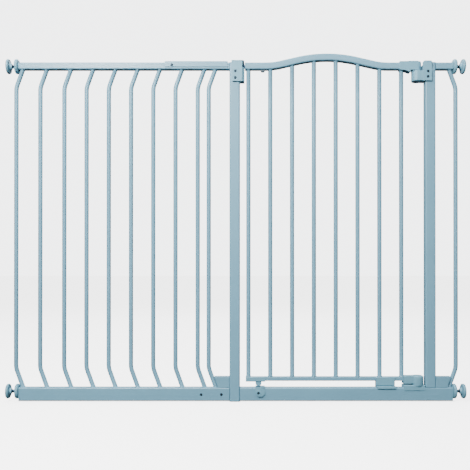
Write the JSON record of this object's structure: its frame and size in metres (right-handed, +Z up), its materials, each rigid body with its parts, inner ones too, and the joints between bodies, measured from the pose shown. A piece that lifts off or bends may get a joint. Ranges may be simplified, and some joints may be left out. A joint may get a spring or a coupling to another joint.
{
  "type": "pet gate",
  "caption": "Tall pressure-fit metal pet gate: a barred door with an arched top rail in a floor frame, a wide side extension panel, and screw-out wall cups at the corners.",
  "frame": {"origin": "on the floor, midway between the faces of the wall cups and midway through the gate's depth", "axes": "+X to the right along the gate, from the extension to the door's hinge side; +Y away from the front, so the door opens towards -Y; +Z up"},
  "size_m": [1.37, 0.044, 1.0398],
  "materials": {
    "powder_coat": "satin",
    "moulded_plastic": "satin",
    "dark_plastic": "matte",
    "dark_screw": "satin",
    "dark_steel": "satin",
    "zinc_steel": "satin"
  },
  "bodies": {
    "frame": {"latch_post": "powder_coat", "hinge_post": "powder_coat", "threshold_rail": "powder_coat", "left_bottom_stub": "powder_coat", "left_top_stub": "powder_coat", "right_top_stub": "powder_coat", "side_bars": "powder_coat", "post_gussets": "powder_coat", "latch_housing": "moulded_plastic", "hinge_bracket": "moulded_plastic", "lower_hinge_cam": "moulded_plastic", "floor_catch": "moulded_plastic", "fixing_screws": "dark_screw", "extension_top_rail": "powder_coat", "extension_bottom_rail": "powder_coat", "extension_bar_1": "powder_coat", "extension_bar_2": "powder_coat", "extension_bar_3": "powder_coat", "extension_bar_4": "powder_coat", "extension_bar_5": "powder_coat", "extension_bar_6": "powder_coat", "extension_bar_7": "powder_coat", "extension_bar_8": "powder_coat", "extension_bar_9": "powder_coat", "connector_channel": "powder_coat", "splice_insert": "zinc_steel", "joining_screws": "dark_screw", "rail_end_plugs": "moulded_plastic"},
    "door": {"door_top_rail": "powder_coat", "door_bottom_rail": "powder_coat", "door_bar_1": "powder_coat", "door_bar_2": "powder_coat", "door_bar_3": "powder_coat", "door_bar_4": "powder_coat", "door_bar_5": "powder_coat", "door_bar_6": "powder_coat", "door_bar_7": "powder_coat", "door_bar_8": "powder_coat", "hinge_sleeve": "moulded_plastic", "lower_hinge_block": "moulded_plastic", "door_stopper": "moulded_plastic", "door_foot": "moulded_plastic", "latch_guide": "moulded_plastic"},
    "hinge_pins": {"top_hinge_pin": "zinc_steel", "lower_hinge_pin": "zinc_steel"},
    "latch": {"latch_bolt": "zinc_steel", "release_button": "dark_plastic", "latch_spring": "zinc_steel"},
    "spindle_upper_left": {"spindle_upper_left": "dark_steel", "wall_cup_upper_left": "moulded_plastic"},
    "wheel_upper_left": {"wheel_upper_left": "moulded_plastic"},
    "spindle_lower_left": {"spindle_lower_left": "dark_steel", "wall_cup_lower_left": "moulded_plastic"},
    "wheel_lower_left": {"wheel_lower_left": "moulded_plastic"},
    "spindle_upper_right": {"spindle_upper_right": "dark_steel", "wall_cup_upper_right": "moulded_plastic"},
    "wheel_upper_right": {"wheel_upper_right": "moulded_plastic"},
    "spindle_lower_right": {"spindle_lower_right": "dark_steel", "wall_cup_lower_right": "moulded_plastic"},
    "wheel_lower_right": {"wheel_lower_right": "moulded_plastic"}
  },
  "joints": [
    {"name": "door_lift", "type": "slide", "parent": "frame", "child": "hinge_pins", "axis": [0, 0, 1], "range_m": [0, 0.008]},
    {"name": "door_swing", "type": "hinge", "parent": "hinge_pins", "child": "door", "pos_m": [0.544, 0, 0], "axis": [0, 0, 1], "range_deg": [0, 90], "stiffness_Nm_per_rad": 1.2},
    {"name": "latch_slide", "type": "slide", "parent": "door", "child": "latch", "axis": [1, 0, 0], "range_m": [0, 0.008], "stiffness_N_per_m": 150, "deforming": ["latch_spring"]},
    {"name": "wheel_upper_left_turn", "type": "hinge", "parent": "frame", "child": "wheel_upper_left", "pos_m": [-0.655, 0, 1.0025], "axis": [-1, 0, 0], "range_deg": [-4801, 1441]},
    {"name": "spindle_upper_left_slide", "type": "slide", "parent": "frame", "child": "spindle_upper_left", "axis": [-1, 0, 0], "range_m": [-0.006, 0.02]},
    {"name": "wheel_lower_left_turn", "type": "hinge", "parent": "frame", "child": "wheel_lower_left", "pos_m": [-0.653, 0, 0.03], "axis": [-1, 0, 0], "range_deg": [-4801, 1441]},
    {"name": "spindle_lower_left_slide", "type": "slide", "parent": "frame", "child": "spindle_lower_left", "axis": [-1, 0, 0], "range_m": [-0.006, 0.02]},
    {"name": "wheel_upper_right_turn", "type": "hinge", "parent": "frame", "child": "wheel_upper_right", "pos_m": [0.655, 0, 1.0025], "axis": [1, 0, 0], "range_deg": [-4801, 1441]},
    {"name": "spindle_upper_right_slide", "type": "slide", "parent": "frame", "child": "spindle_upper_right", "axis": [1, 0, 0], "range_m": [-0.006, 0.02]},
    {"name": "wheel_lower_right_turn", "type": "hinge", "parent": "frame", "child": "wheel_lower_right", "pos_m": [0.653, 0, 0.03], "axis": [1, 0, 0], "range_deg": [-4801, 1441]},
    {"name": "spindle_lower_right_slide", "type": "slide", "parent": "frame", "child": "spindle_lower_right", "axis": [1, 0, 0], "range_m": [-0.006, 0.02]}
  ],
  "couplings": [
    {"joint": "wheel_upper_left_turn", "follows": "spindle_upper_left_slide", "rad_per_m": -4188.8},
    {"joint": "wheel_lower_left_turn", "follows": "spindle_lower_left_slide", "rad_per_m": -4188.8},
    {"joint": "wheel_upper_right_turn", "follows": "spindle_upper_right_slide", "rad_per_m": -4188.8},
    {"joint": "wheel_lower_right_turn", "follows": "spindle_lower_right_slide", "rad_per_m": -4188.8}
  ]
}
